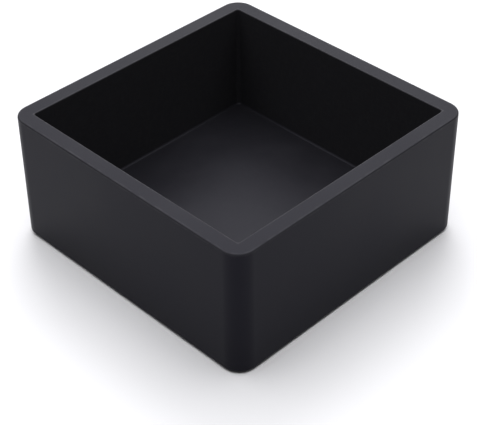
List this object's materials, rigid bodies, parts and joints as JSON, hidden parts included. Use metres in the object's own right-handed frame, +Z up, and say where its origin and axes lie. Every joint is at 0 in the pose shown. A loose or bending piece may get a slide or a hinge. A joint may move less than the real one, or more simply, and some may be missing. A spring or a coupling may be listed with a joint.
{
  "type": "paper clip holder",
  "caption": "Square open desk tray for paper clips, with a thick flat rim, hollow soft-touch plastic walls, a snap-in base plate and round rubber feet.",
  "frame": {"origin": "on the desk plane that the feet stand on, under the middle of the tray", "axes": "+Z up out of the open top; +X and +Y along the square's two sides, which are alike"},
  "size_m": [0.0854, 0.0854, 0.0383],
  "materials": {
    "soft_touch_black": "soft-touch matte film on a fine spark-eroded texture, charcoal black",
    "moulded_black": "as moulded, fine matte texture",
    "foot_rubber": "dull black rubber"
  },
  "bodies": {
    "root": {"tray_moulding": "soft_touch_black", "base_plate": "moulded_black", "foot_front_left": "foot_rubber", "foot_front_right": "foot_rubber", "foot_rear_left": "foot_rubber", "foot_rear_right": "foot_rubber"}
  },
  "joints": []
}
